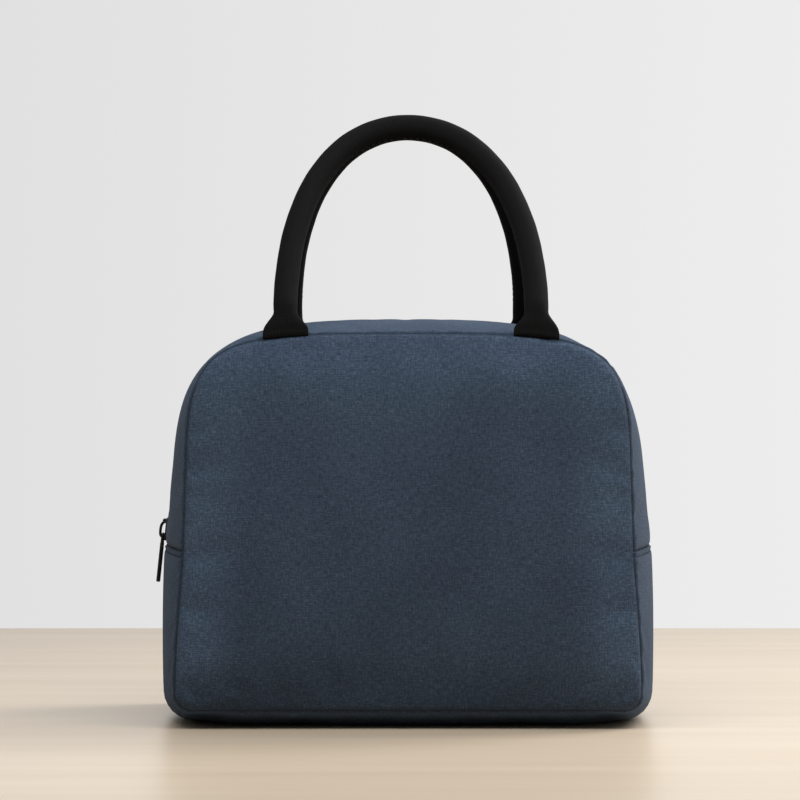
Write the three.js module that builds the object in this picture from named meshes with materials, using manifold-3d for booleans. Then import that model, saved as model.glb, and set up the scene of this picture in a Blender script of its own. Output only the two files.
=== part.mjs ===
// Soft insulated lunch bag: padded panels, a zipped gusset and two arched carry handles.
// Millimetres. X is the width, the front faces -Y, Z is up and the base rests on Z = 0.
import * as THREE from "three";
import { mergeVertices } from "three/addons/utils/BufferGeometryUtils.js";
import Module from "manifold-3d";

const wasm = await Module();
wasm.setup();

// ---- Driving dimensions ----
const HALF_DEPTH = 75; // middle of the bag to the front or rear seam
const PANEL_DOME = 4; // how far a panel swells past its seam
const FOLD_Z = 91.7; // cross seam, where each half folds open
const STRAIGHT_TOP_Z = 135.7; // top of the straight stretch of the zip
const CUT_GAP = 0.3; // clearance between neighbouring pieces

// Layers, as depths below the outside of the bag.
const FABRIC = [0, 1];
const FOAM = [1.3, 5.3];
const LINER = [5.6, 6.2];
const BINDING = [6.5, 9];
const BINDING_WIDTH = 7;

// Zip, as distances each side of the middle plane and depths below the outside.
const ZIP_OPENING = 6.5; // folded edge of the gusset fabric
const ZIP_TAPE = { near: 2, far: 14, depth: [1.3, 1.8] };
const ZIP_COIL = { near: 0.9, far: 3.1, depth: [-0.1, 1] };

// Right half of the outline at the seams and at the middle of the gusset, in X and Z.
const SEAM_OUTLINE = {
  base: [0, 8.7],
  cornerStart: [110, 8.7],
  cornerEnd: [119.5, 18.2],
  sideLow: [119.6, 43.7],
  sideHigh: [116.3, 69.7],
  fold: [115.3, FOLD_Z],
  straightTop: [113.9, STRAIGHT_TOP_Z],
  shoulder: [112.6, 200.3],
  crown: [98.6, 202],
  top: [0, 202],
};
const MIDDLE_OUTLINE = {
  base: [0, -4],
  cornerStart: [113, -1],
  cornerEnd: [128.2, 15],
  sideLow: [129, 43.7],
  sideHigh: [129, 69.7],
  fold: [127.8, FOLD_Z],
  straightTop: [123.2, STRAIGHT_TOP_Z],
  shoulder: [117.6, 202.2],
  crown: [84, 209.7],
  top: [0, 209.7],
};
const CORNER_ROUNDNESS = 0.55; // handle length of a quarter-round Bezier corner
const SEGMENTS = { base: 1, corner: 3, side: 2, straight: 1, shoulder: 8 };

// Carry handles.
const HANDLE_RADIUS = 6.3;
const SLEEVE_WALL = 1.2;
const HANDLE_HALF_SPAN = 64; // middle of the bag to the middle of a leg
const HANDLE_PIVOT = { y: 75.5, z: 203.5 }; // fold line of the foot tabs
const HANDLE_TOP = { y: 6.6, z: 311.9 }; // middle of the tube at the top of the arch
const ARCH_FULLNESS = 0.6;
const FOOT_TAB = { height: 13.7, baseWidth: 24, neckWidth: 12, thickness: 2.4 };
const HANDLE_STEPS = 24;
const HANDLE_SIDES = 8;

// Zip slider and pull, in the slider's own frame: X outwards, Z up along the zip.
const SLIDER_ABOVE_FOLD = 7.2; // fold line to the middle of the slider at rest
const SLIDER_PLATE = { width: 9.6, length: 12, noseWidth: 6.4 };
const OUTER_PLATE = [0.5, 1.6];
const INNER_PLATE = [-3.4, -2.4];
const SLIDER_POST = { width: 1.2, low: 1.5, high: 4.5 };
const LIP_WIDTH = 0.8;
const LIP_DROP = 0.4;
const BRIDGE = { width: 2.2, length: 8.6, top: 4.7, bar: 1.1, footWidth: 1.2 };
const PULL = { length: 26, width: 5.4, thickness: 1.5, bar: 1, holeWidth: 2.9, holeLength: 5.2 };
const PULL_PIVOT = { x: 2.6, z: -2.3 };

const COLORS = {
  fabric: 0x3d4f66,
  foam: 0xe8e8e2,
  liner: 0xc3c7ca,
  trim: 0x17181a,
};

// ---- Solids ----

function toSolid(geometry) {
  const bare = geometry.clone();
  bare.deleteAttribute("normal");
  bare.deleteAttribute("uv");
  const merged = mergeVertices(bare, 1e-4);
  const mesh = new wasm.Mesh({
    numProp: 3,
    vertProperties: new Float32Array(merged.attributes.position.array),
    triVerts: new Uint32Array(merged.index.array),
  });
  return new wasm.Manifold(mesh);
}

function toGeometry(solid) {
  const mesh = solid.getMesh();
  const geometry = new THREE.BufferGeometry();
  geometry.setAttribute("position", new THREE.BufferAttribute(mesh.vertProperties, 3));
  geometry.setIndex(new THREE.BufferAttribute(mesh.triVerts, 1));
  geometry.computeVertexNormals();
  return geometry;
}

function boxBetween(x, y, z) {
  const box = new THREE.BoxGeometry(x[1] - x[0], y[1] - y[0], z[1] - z[0]);
  box.translate((x[0] + x[1]) / 2, (y[0] + y[1]) / 2, (z[0] + z[1]) / 2);
  return toSolid(box);
}

// A slice of space: a box that reaches past the bag in every direction but the one given.
const FAR = 400;
const EVERYWHERE = [-FAR, FAR];

function sliceY(low, high) {
  return boxBetween(EVERYWHERE, [low, high], EVERYWHERE);
}

function sliceZ(low, high) {
  return boxBetween(EVERYWHERE, EVERYWHERE, [low, high]);
}

function ordered(a, b) {
  return [Math.min(a, b), Math.max(a, b)];
}

function plate(shape, depth) {
  return new THREE.ExtrudeGeometry(shape, { depth, bevelEnabled: false, curveSegments: 4 });
}

function material(color, roughness = 0.9, metalness = 0) {
  return new THREE.MeshStandardMaterial({ color, roughness, metalness });
}

// ---- Outline of the bag ----

function bezierThrough(a, b, c, d) {
  const points = [a, b, c, d].map(([x, z]) => new THREE.Vector2(x, z));
  return new THREE.CubicBezierCurve(...points);
}

function roundCorner(start, end) {
  const alongBase = [start[0] + (end[0] - start[0]) * CORNER_ROUNDNESS, start[1]];
  const downSide = [end[0], end[1] - (end[1] - start[1]) * CORNER_ROUNDNESS];
  return bezierThrough(start, alongBase, downSide, end);
}

// Points from the bottom middle, up the right side, to the top middle.
function halfOutline(outline) {
  const stretches = [
    [new THREE.LineCurve(new THREE.Vector2(...outline.base), new THREE.Vector2(...outline.cornerStart)),
      SEGMENTS.base],
    [roundCorner(outline.cornerStart, outline.cornerEnd), SEGMENTS.corner],
    [bezierThrough(outline.cornerEnd, outline.sideLow, outline.sideHigh, outline.fold), SEGMENTS.side],
    [new THREE.LineCurve(new THREE.Vector2(...outline.fold), new THREE.Vector2(...outline.straightTop)),
      SEGMENTS.straight],
    [bezierThrough(outline.straightTop, outline.shoulder, outline.crown, outline.top), SEGMENTS.shoulder],
  ];
  const points = [new THREE.Vector2(...outline.base)];
  for (const [curve, count] of stretches) {
    points.push(...curve.getPoints(count).slice(1));
  }
  return points;
}

// The whole outline, anticlockwise seen from the front, with an outward normal at each point.
function fullOutline(outline) {
  const right = halfOutline(outline);
  const left = right.slice(1, -1).reverse().map((p) => new THREE.Vector2(-p.x, p.y));
  const points = [...right, ...left];
  return points.map((point, i) => {
    const before = points[(i + points.length - 1) % points.length];
    const after = points[(i + 1) % points.length];
    const along = after.clone().sub(before).normalize();
    return { point, normal: new THREE.Vector2(along.y, -along.x) };
  });
}

const seamOutline = fullOutline(SEAM_OUTLINE);
const middleOutline = fullOutline(MIDDLE_OUTLINE);
const RING = seamOutline.length;
const STATION_STEPS = 3; // facets from the middle of the gusset to a seam
const STATIONS = Array.from({ length: STATION_STEPS + 1 }, (_, i) => 1 - (i / STATION_STEPS) ** 2);

// Fullness is 0 at a seam and 1 at the middle of the gusset, in straight facets between STATIONS.
function fullnessAt(station) {
  const place = Math.min(Math.abs(station), 1) * (STATIONS.length - 1);
  const low = Math.min(Math.floor(place), STATIONS.length - 2);
  return THREE.MathUtils.lerp(STATIONS[low], STATIONS[low + 1], place - low);
}

function section(station, depthBelow, y) {
  const fullness = fullnessAt(station);
  return seamOutline.map((seam, i) => {
    const middle = middleOutline[i];
    const point = seam.point.clone().lerp(middle.point, fullness);
    const normal = seam.normal.clone().lerp(middle.normal, fullness).normalize();
    point.addScaledVector(normal, -depthBelow);
    return new THREE.Vector3(point.x, y, Math.max(point.y, depthBelow));
  });
}

// Faces between neighbouring rings of points, which close on themselves when loop is true.
function ringFaces(ringCount, loop) {
  const faces = [];
  const last = loop ? ringCount : ringCount - 1;
  for (let ring = 0; ring < last; ring += 1) {
    const here = ring * RING;
    const next = ((ring + 1) % ringCount) * RING;
    for (let i = 0; i < RING; i += 1) {
      const j = (i + 1) % RING;
      faces.push(here + i, next + j, here + j, here + i, next + i, next + j);
    }
  }
  return faces;
}

function meshOf(points, faces) {
  const geometry = new THREE.BufferGeometry();
  const positions = new Float32Array(points.flatMap((p) => [p.x, p.y, p.z]));
  geometry.setAttribute("position", new THREE.BufferAttribute(positions, 3));
  geometry.setIndex(faces);
  return geometry;
}

// The whole bag as one filled solid, at a depth below the outside.
function filledBag(depthBelow) {
  const half = HALF_DEPTH - depthBelow;
  const rings = [];
  const centre = new THREE.Vector3(0, 0, FOLD_Z);
  const domeRing = (side, share) => {
    const swell = PANEL_DOME * (1 - share * share);
    return section(1, depthBelow, side * half).map((p) => {
      const q = centre.clone().lerp(p, share);
      return new THREE.Vector3(q.x, side * (half + swell), q.z);
    });
  };
  const domeShares = [0.5, 0.85];
  for (const share of domeShares) {
    rings.push(domeRing(-1, share));
  }
  for (let i = -STATION_STEPS; i <= STATION_STEPS; i += 1) {
    const station = i / STATION_STEPS;
    rings.push(section(station, depthBelow, station * half));
  }
  for (const share of [...domeShares].reverse()) {
    rings.push(domeRing(1, share));
  }
  const points = rings.flat();
  const faces = ringFaces(rings.length, false);
  const lastRing = (rings.length - 1) * RING;
  points.push(new THREE.Vector3(0, -half - PANEL_DOME, FOLD_Z));
  points.push(new THREE.Vector3(0, half + PANEL_DOME, FOLD_Z));
  for (let i = 0; i < RING; i += 1) {
    const j = (i + 1) % RING;
    faces.push(points.length - 2, i, j);
    faces.push(points.length - 1, lastRing + j, lastRing + i);
  }
  return toSolid(meshOf(points, faces));
}

// A band that follows the outline all round, between two depths and two places along Y.
function outlineBand(depths, yRange) {
  const corners = [
    [depths[0], yRange[0]],
    [depths[0], yRange[1]],
    [depths[1], yRange[1]],
    [depths[1], yRange[0]],
  ];
  const rings = corners.map(([depth, y]) => section(y / (HALF_DEPTH - depth), depth, y));
  return toSolid(meshOf(rings.flat(), ringFaces(rings.length, true)));
}

// ---- Padded walls ----

const SIDES = [["front", -1], ["rear", 1]];
const group = new THREE.Group();

function addNode(name, geometry, color, roughness, metalness) {
  const node = new THREE.Mesh(geometry, material(color, roughness, metalness));
  node.name = name;
  group.add(node);
  return node;
}

function belowFold(solid) {
  return toGeometry(solid.intersect(sliceZ(-FAR, FOLD_Z - CUT_GAP / 2)));
}

function aboveFold(solid) {
  return toGeometry(solid.intersect(sliceZ(FOLD_Z + CUT_GAP / 2, FAR)));
}

// One layer of the bag, cut into its two panels, its lower gusset and its two zip gussets.
function addLayer(depths, color, roughness, zipEdge, names) {
  const skin = filledBag(depths[0]).subtract(filledBag(depths[1]));
  const panelY = HALF_DEPTH - depths[1];
  const gussetY = panelY - CUT_GAP;
  const lowerGusset = skin.intersect(sliceY(-gussetY, gussetY));
  addNode(`lower_gusset${names.suffix}`, belowFold(lowerGusset), color, roughness);
  for (const [side, sign] of SIDES) {
    const panel = skin.intersect(sliceY(...ordered(sign * panelY, sign * FAR)));
    const zipGusset = skin.intersect(sliceY(...ordered(sign * zipEdge, sign * gussetY)));
    addNode(`${side}_${names.panel}_lower`, belowFold(panel), color, roughness);
    addNode(`${side}_${names.panel}_upper`, aboveFold(panel), color, roughness);
    addNode(`${side}_zip_gusset${names.suffix}`, aboveFold(zipGusset), color, roughness);
  }
}

// Fabric tape over the raw seam edges, inside the bag.
function addBindings() {
  const far = HALF_DEPTH - LINER[1] - CUT_GAP;
  for (const [side, sign] of SIDES) {
    const band = outlineBand(BINDING, ordered(sign * far, sign * (far - BINDING_WIDTH)));
    addNode(`${side}_binding_lower`, belowFold(band), COLORS.trim, 0.9);
    addNode(`${side}_binding_upper`, aboveFold(band), COLORS.trim, 0.9);
  }
}

// ---- Zip ----

function addZipSides() {
  for (const [side, sign] of SIDES) {
    const strip = (part) => outlineBand(part.depth, ordered(sign * part.near, sign * part.far));
    addNode(`${side}_zip_tape`, aboveFold(strip(ZIP_TAPE)), COLORS.trim, 0.8);
    addNode(`${side}_zip_coil`, aboveFold(strip(ZIP_COIL)), COLORS.trim, 0.45);
  }
}

// Shield outline of a slider plate: square at the foot and narrower at the nose.
function sliderShape() {
  const half = SLIDER_PLATE.width / 2;
  const nose = SLIDER_PLATE.noseWidth / 2;
  const end = SLIDER_PLATE.length / 2;
  const shape = new THREE.Shape();
  shape.moveTo(-half + 1, -end);
  shape.lineTo(half - 1, -end);
  shape.lineTo(half, -end + 1);
  shape.lineTo(half, end * 0.3);
  shape.lineTo(nose, end);
  shape.lineTo(-nose, end);
  shape.lineTo(-half, end * 0.3);
  shape.lineTo(-half, -end + 1);
  shape.closePath();
  return shape;
}

// Turns a plate drawn in X and Y with its thickness on Z to lie in Y and Z with its thickness on X.
function standUp(geometry, x) {
  const turn = new THREE.Matrix4().makeBasis(
    new THREE.Vector3(0, 1, 0),
    new THREE.Vector3(0, 0, 1),
    new THREE.Vector3(1, 0, 0),
  );
  geometry.applyMatrix4(turn);
  geometry.translate(x, 0, 0);
  return geometry;
}

// The loop on the slider that the pull hangs from, drawn in X and Z.
function bridgeGeometry() {
  const end = BRIDGE.length / 2;
  const foot = OUTER_PLATE[1] - 0.3;
  const shape = new THREE.Shape();
  shape.moveTo(foot, -end);
  shape.lineTo(BRIDGE.top - 1.2, -end);
  shape.quadraticCurveTo(BRIDGE.top, -end, BRIDGE.top, -end + 1.6);
  shape.lineTo(BRIDGE.top, end - 1.6);
  shape.quadraticCurveTo(BRIDGE.top, end, BRIDGE.top - 1.2, end);
  shape.lineTo(foot, end);
  shape.closePath();
  const hole = new THREE.Path();
  const inner = BRIDGE.top - BRIDGE.bar;
  hole.moveTo(OUTER_PLATE[1] + 0.1, -end + BRIDGE.footWidth);
  hole.lineTo(inner, -end + BRIDGE.footWidth);
  hole.lineTo(inner, end - BRIDGE.footWidth);
  hole.lineTo(OUTER_PLATE[1] + 0.1, end - BRIDGE.footWidth);
  hole.closePath();
  shape.holes.push(hole);
  const geometry = plate(shape, BRIDGE.width);
  geometry.translate(0, 0, -BRIDGE.width / 2);
  geometry.rotateX(Math.PI / 2);
  return geometry;
}

function sliderGeometry() {
  const outer = standUp(plate(sliderShape(), OUTER_PLATE[1] - OUTER_PLATE[0]), OUTER_PLATE[0]);
  const inner = standUp(plate(sliderShape(), INNER_PLATE[1] - INNER_PLATE[0]), INNER_PLATE[0]);
  const half = SLIDER_PLATE.width / 2;
  const end = SLIDER_PLATE.length / 2;
  const post = boxBetween(
    [INNER_PLATE[0] + 0.2, OUTER_PLATE[1] - 0.2],
    [-SLIDER_POST.width / 2, SLIDER_POST.width / 2],
    [SLIDER_POST.low, SLIDER_POST.high],
  );
  let solid = toSolid(outer).add(toSolid(inner)).add(post).add(toSolid(bridgeGeometry()));
  for (const sign of [-1, 1]) {
    const edge = ordered(sign * half, sign * (half - LIP_WIDTH));
    solid = solid.add(boxBetween([-LIP_DROP, OUTER_PLATE[0] + 0.2], edge, [-end + 1, end * 0.3]));
  }
  return toGeometry(solid);
}

// A flat tab with an eye, drawn downwards from the middle of its bar.
function pullGeometry() {
  const half = PULL.width / 2;
  const shape = new THREE.Shape();
  shape.moveTo(half - 0.6, PULL.bar / 2);
  shape.lineTo(-half + 0.6, PULL.bar / 2);
  shape.lineTo(-half, -PULL.bar);
  shape.absarc(0, -PULL.length + half, half, Math.PI, 2 * Math.PI, false);
  shape.lineTo(half, -PULL.bar);
  shape.closePath();
  const hole = new THREE.Path();
  const side = PULL.holeWidth / 2;
  hole.moveTo(-side, -PULL.bar / 2);
  hole.lineTo(side, -PULL.bar / 2);
  hole.lineTo(side, -PULL.holeLength);
  hole.lineTo(-side, -PULL.holeLength);
  hole.closePath();
  shape.holes.push(hole);
  const tab = standUp(plate(shape, PULL.thickness), -PULL.thickness / 2);
  const barRoom = boxBetween([-2, 2], [-side, side], [-PULL.bar / 2 - 0.01, 3]);
  const bar = boxBetween([-PULL.bar / 2, PULL.bar / 2], [-side - 0.5, side + 0.5],
    [-PULL.bar / 2, PULL.bar / 2]);
  return toGeometry(toSolid(tab).subtract(barRoom).add(bar));
}

// Frame on the left side of the zip: X points out of the bag, Z up along the straight stretch.
function zipFrame() {
  const [foldX, foldZ] = MIDDLE_OUTLINE.fold;
  const [topX, topZ] = MIDDLE_OUTLINE.straightTop;
  const along = new THREE.Vector3(foldX - topX, 0, topZ - foldZ).normalize();
  const outward = new THREE.Vector3(-along.z, 0, along.x);
  const origin = new THREE.Vector3(-foldX, 0, foldZ).addScaledVector(along, SLIDER_ABOVE_FOLD);
  const frame = new THREE.Matrix4().makeBasis(outward, new THREE.Vector3(0, -1, 0), along);
  return frame.setPosition(origin);
}

function addSlider() {
  const frame = zipFrame();
  const slider = addNode("zip_slider", sliderGeometry(), COLORS.trim, 0.35, 0.6);
  slider.applyMatrix4(frame);
  const pull = addNode("zip_pull", pullGeometry(), COLORS.trim, 0.4, 0.5);
  pull.applyMatrix4(new THREE.Matrix4().makeTranslation(PULL_PIVOT.x, 0, PULL_PIVOT.z));
  pull.applyMatrix4(frame);
}

// ---- Handles ----

// Direction of a handle's legs, leaning in over the bag from its fold line.
function handleFrame(sign) {
  const reach = new THREE.Vector3(0, HANDLE_PIVOT.y - HANDLE_TOP.y, HANDLE_TOP.z - HANDLE_PIVOT.z);
  const rise = reach.length();
  const up = reach.clone().normalize();
  up.y *= -sign;
  const across = new THREE.Vector3(1, 0, 0);
  const frame = new THREE.Matrix4().makeBasis(across, up, across.clone().cross(up));
  frame.setPosition(0, sign * HANDLE_PIVOT.y, HANDLE_PIVOT.z);
  return { frame, rise };
}

// Middle line of the tube, in the handle's plane: X across, Y up the legs.
function archCurve(rise) {
  const foot = FOOT_TAB.height + CUT_GAP;
  const legHandle = foot + (rise - foot) * ARCH_FULLNESS;
  const topHandle = HANDLE_HALF_SPAN * ARCH_FULLNESS;
  const point = (x, y) => new THREE.Vector3(x, y, 0);
  const path = new THREE.CurvePath();
  path.add(new THREE.CubicBezierCurve3(
    point(HANDLE_HALF_SPAN, foot), point(HANDLE_HALF_SPAN, legHandle), point(topHandle, rise), point(0, rise),
  ));
  path.add(new THREE.CubicBezierCurve3(
    point(0, rise), point(-topHandle, rise), point(-HANDLE_HALF_SPAN, legHandle), point(-HANDLE_HALF_SPAN, foot),
  ));
  return path;
}

function polygon(radius, Kind = THREE.Shape) {
  const shape = new Kind();
  for (let i = 0; i < HANDLE_SIDES; i += 1) {
    const turn = (i / HANDLE_SIDES) * Math.PI * 2;
    const place = [radius * Math.cos(turn), radius * Math.sin(turn)];
    if (i === 0) {
      shape.moveTo(...place);
    } else {
      shape.lineTo(...place);
    }
  }
  shape.closePath();
  return shape;
}

function alongArch(shape, rise) {
  const options = { steps: HANDLE_STEPS, extrudePath: archCurve(rise), bevelEnabled: false };
  return new THREE.ExtrudeGeometry(shape, options);
}

// A foot tab flares from the tube's width to the width of the webbing that the seam holds.
function footTabGeometry() {
  const wide = FOOT_TAB.baseWidth / 2;
  const neck = FOOT_TAB.neckWidth / 2;
  const shape = new THREE.Shape();
  shape.moveTo(-wide, 0);
  shape.lineTo(wide, 0);
  shape.lineTo(wide, 1.5);
  shape.quadraticCurveTo(neck + 1, FOOT_TAB.height * 0.45, neck, FOOT_TAB.height);
  shape.lineTo(-neck, FOOT_TAB.height);
  shape.quadraticCurveTo(-neck - 1, FOOT_TAB.height * 0.45, -wide, 1.5);
  shape.closePath();
  const geometry = plate(shape, FOOT_TAB.thickness);
  geometry.translate(0, 0, -FOOT_TAB.thickness / 2);
  return geometry;
}

function addHandle(side, sign) {
  const { frame, rise } = handleFrame(sign);
  const sleeveShape = polygon(HANDLE_RADIUS);
  sleeveShape.holes.push(polygon(HANDLE_RADIUS - SLEEVE_WALL, THREE.Path));
  const sleeve = addNode(`${side}_handle_sleeve`, alongArch(sleeveShape, rise), COLORS.trim, 0.85);
  sleeve.applyMatrix4(frame);
  const coreRadius = HANDLE_RADIUS - SLEEVE_WALL - CUT_GAP;
  const core = addNode(`${side}_handle_core`, alongArch(polygon(coreRadius), rise), COLORS.foam, 0.9);
  core.applyMatrix4(frame);
  for (const [name, x] of [["left", -HANDLE_HALF_SPAN], ["right", HANDLE_HALF_SPAN]]) {
    const tab = addNode(`${side}_handle_tab_${name}`, footTabGeometry(), COLORS.trim, 0.85);
    tab.applyMatrix4(new THREE.Matrix4().makeTranslation(x, 0, 0));
    tab.applyMatrix4(frame);
  }
}

addLayer(FABRIC, COLORS.fabric, 0.9, ZIP_OPENING, { panel: "panel", suffix: "" });
addLayer(FOAM, COLORS.foam, 0.95, ZIP_TAPE.far + CUT_GAP, { panel: "foam", suffix: "_foam" });
addLayer(LINER, COLORS.liner, 0.35, ZIP_OPENING, { panel: "liner", suffix: "_liner" });
addBindings();
addZipSides();
addSlider();
for (const [side, sign] of SIDES) {
  addHandle(side, sign);
}

export default group;
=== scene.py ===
import math

import bmesh
import bpy
import numpy as np
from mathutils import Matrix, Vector


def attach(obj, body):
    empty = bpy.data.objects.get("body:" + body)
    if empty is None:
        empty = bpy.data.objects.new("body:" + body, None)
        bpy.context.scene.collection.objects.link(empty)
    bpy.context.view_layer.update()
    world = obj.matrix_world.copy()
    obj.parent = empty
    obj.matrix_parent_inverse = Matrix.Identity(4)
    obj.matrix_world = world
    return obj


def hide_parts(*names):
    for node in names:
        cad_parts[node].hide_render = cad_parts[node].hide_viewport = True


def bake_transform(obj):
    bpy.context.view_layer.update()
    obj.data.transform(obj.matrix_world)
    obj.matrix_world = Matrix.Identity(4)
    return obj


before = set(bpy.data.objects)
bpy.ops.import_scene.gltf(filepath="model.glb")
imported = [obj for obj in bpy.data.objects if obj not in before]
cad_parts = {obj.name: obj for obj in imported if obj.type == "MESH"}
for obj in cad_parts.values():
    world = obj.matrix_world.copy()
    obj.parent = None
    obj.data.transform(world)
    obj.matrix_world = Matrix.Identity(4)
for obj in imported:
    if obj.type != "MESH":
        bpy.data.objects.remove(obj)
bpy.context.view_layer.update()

# A soft insulated lunch bag. Shapes are worked out in millimetres and written out in metres.
MM = 0.001

# ---- Driving dimensions, in millimetres, as in the CAD model ----
HALF_DEPTH = 75.0
PANEL_DOME = {"rise": 4.0, "reach": 60.0, "roll": 2.0, "roll_reach": 3.0}  # the roll rises close to the seam
FOLD_Z = 91.7
SIDES = (("front", -1), ("rear", 1))
SEAM_OUTLINE = {
    "base": (0, 8.7), "corner_start": (110, 8.7), "corner_end": (119.5, 18.2), "side_low": (119.6, 43.7),
    "side_high": (116.3, 69.7), "fold": (115.3, FOLD_Z), "straight_top": (113.9, 135.7),
    "shoulder": (112.6, 200.3), "crown": (98.6, 202), "top": (0, 202),
}
MIDDLE_OUTLINE = {
    "base": (0, -4), "corner_start": (113, -1), "corner_end": (128.2, 15), "side_low": (129, 43.7),
    "side_high": (129, 69.7), "fold": (127.8, FOLD_Z), "straight_top": (123.2, 135.7),
    "shoulder": (117.6, 202.2), "crown": (84, 209.7), "top": (0, 209.7),
}
CORNER_ROUNDNESS = 0.55
ZIP_OPENING = 6.5
FABRIC_THICKNESS = 1.0
WALL_THICKNESS = 5.2  # fabric and foam together
SEAM_THICKNESS = 1.6  # the wall pinched in its seam
LINER_DEPTH = (5.6, 6.2)

# ---- Grid of the shell ----
STEPS = {"top": 24, "lower_side": 16, "upper_side": 18}
HALF_STATIONS = [0, 6.5, 12, 18, 24, 30, 36, 42, 48, 54, 60, 66.5, 71, HALF_DEPTH]
STATIONS = sorted({-y for y in HALF_STATIONS} | set(HALF_STATIONS))
RING_INSETS = [0.0, 3.8, 7.6]  # rings of a panel inside its seam
SEAM_ROWS = [0, 0.15, 0.35, 0.65]  # finer rows in the first cell next to a seam

# ---- Cloth ----
CLOTH = {"frames": 20, "quality": 6, "pressure": 1.6, "extra": 0.004, "bending": 1.5}
LARGEST_SWELL = {"panel": 2.4, "gusset": 0.9}
FLAT_BASE = {"half_width": 80, "fade": 28, "power": 2}  # where the gusset turns flat faster under the base
LEAN = {"most": 1.5, "from": 134, "over": 60}  # how far the top of the gusset leans to the left
FOLD_SAG = {"drop": 1.4, "reach": 16}  # how far the cross seams droop where they meet a panel
BELLY = {"rise": 2.5, "full_at": 45, "over": 150, "gone_at": 204}  # the filling pushes a panel out, low down
SEAM_TUCK = 1.6  # how much further in the edges of two sewn pieces reach, past their groove
FAR = 99.0  # a distance at which a seam has no effect


# ---- Curves and grids ----

def smooth(x):
    x = np.clip(x, 0, 1)
    return x * x * (3 - 2 * x)


def hump(distance, width):
    """1 at no distance, falling smoothly to 0 past the width."""
    return np.exp(-((distance / width) ** 2))


def bezier(a, b, c, d, t):
    t = np.asarray(t, float)[..., None]
    return (1 - t) ** 3 * a + 3 * (1 - t) ** 2 * t * b + 3 * (1 - t) * t ** 2 * c + t ** 3 * d


def outline_curves(outline):
    """Five cubic curves: base, bottom corner, side, straight stretch of the zip, and shoulder to top."""
    o = {key: np.array(value, float) for key, value in outline.items()}
    corner = o["corner_end"] - o["corner_start"]
    along_base = o["corner_start"] + (corner[0] * CORNER_ROUNDNESS, 0)
    down_side = o["corner_end"] - (0, corner[1] * CORNER_ROUNDNESS)

    def line(a, b):
        return a, a + (b - a) / 3, a + (b - a) * 2 / 3, b

    return [
        line(o["base"], o["corner_start"]),
        (o["corner_start"], along_base, down_side, o["corner_end"]),
        (o["corner_end"], o["side_low"], o["side_high"], o["fold"]),
        line(o["fold"], o["straight_top"]),
        (o["straight_top"], o["shoulder"], o["crown"], o["top"]),
    ]


def outline_points(outline, place):
    """Points of the right half; the whole part of a place picks the curve and the rest is its parameter."""
    place = np.asarray(place, float)
    curves = outline_curves(outline)
    index = np.minimum(place.astype(int), len(curves) - 1)
    drawn = np.stack([bezier(*curve, place - index) for curve in curves])
    return drawn[index, np.arange(len(place))]


def run_length(points):
    return np.concatenate([[0], np.cumsum(np.linalg.norm(np.diff(points, axis=0), axis=1))])


def unit(vectors):
    return vectors / np.linalg.norm(vectors, axis=-1, keepdims=True)


def evenly(start, end, count):
    """Places from start to end, at even distances along the seam."""
    fine = np.linspace(start, end, 400)
    run = run_length(outline_points(SEAM_OUTLINE, fine))
    return np.interp(np.linspace(0, run[-1], count + 1), run, fine)


def shoulder_place():
    """Where the seam turns through 45 degrees at the top corner."""
    fine = np.linspace(TOP - 1, TOP, 400)
    step = np.diff(outline_points(SEAM_OUTLINE, fine), axis=0)
    return fine[np.argmax(-step[:, 0] > step[:, 1])]


def mirrored(points):
    """The whole ring from its right half: bottom middle, up the right side, top middle, down the left."""
    left = points[-2:0:-1] * (-1, 1)
    return np.concatenate([points, left])


CORNER, FOLD, TOP = 1.5, 3, 5  # places on the outline
SHOULDER = shoulder_place()
PLACES = np.concatenate([
    evenly(0, CORNER, STEPS["top"]),
    evenly(CORNER, FOLD, STEPS["lower_side"])[1:],
    evenly(FOLD, SHOULDER, STEPS["upper_side"])[1:],
    evenly(SHOULDER, TOP, STEPS["top"])[1:],
])
ACROSS = STEPS["top"]
UP = STEPS["lower_side"] + STEPS["upper_side"]
FOLD_COLUMN = STEPS["top"] + STEPS["lower_side"]
SEAM_RING = mirrored(outline_points(SEAM_OUTLINE, PLACES))
MIDDLE_RING = mirrored(outline_points(MIDDLE_OUTLINE, PLACES))
RING = len(SEAM_RING)


def ring_normals(ring):
    along = np.roll(ring, -1, axis=0) - np.roll(ring, 1, axis=0)
    return unit(np.stack([along[:, 1], -along[:, 0]], axis=1))


SEAM_NORMALS = ring_normals(SEAM_RING)
MIDDLE_NORMALS = ring_normals(MIDDLE_RING)


# The gusset swells evenly between its seams at the sides and top, and turns flat faster under the base.
UNDER_BASE = 1 - smooth((np.abs(SEAM_RING[:, 0]) - FLAT_BASE["half_width"]) / FLAT_BASE["fade"])
FULLNESS_POWER = (2 + FLAT_BASE["power"] * UNDER_BASE * (SEAM_RING[:, 1] < FOLD_Z))[:, None]


def section(y, depth=0.0):
    """The bag's ring at one place along Y, at a depth below its outside."""
    fullness = 1 - min(abs(y) / HALF_DEPTH, 1) ** FULLNESS_POWER
    ring = SEAM_RING + (MIDDLE_RING - SEAM_RING) * fullness
    ring[:, 0] -= LEAN["most"] * fullness[:, 0] * smooth((ring[:, 1] - LEAN["from"]) / LEAN["over"])
    ring = ring - unit(SEAM_NORMALS + (MIDDLE_NORMALS - SEAM_NORMALS) * fullness) * depth
    return np.stack([ring[:, 0], np.full(len(ring), y), np.maximum(ring[:, 1], depth)], axis=1)


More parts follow.
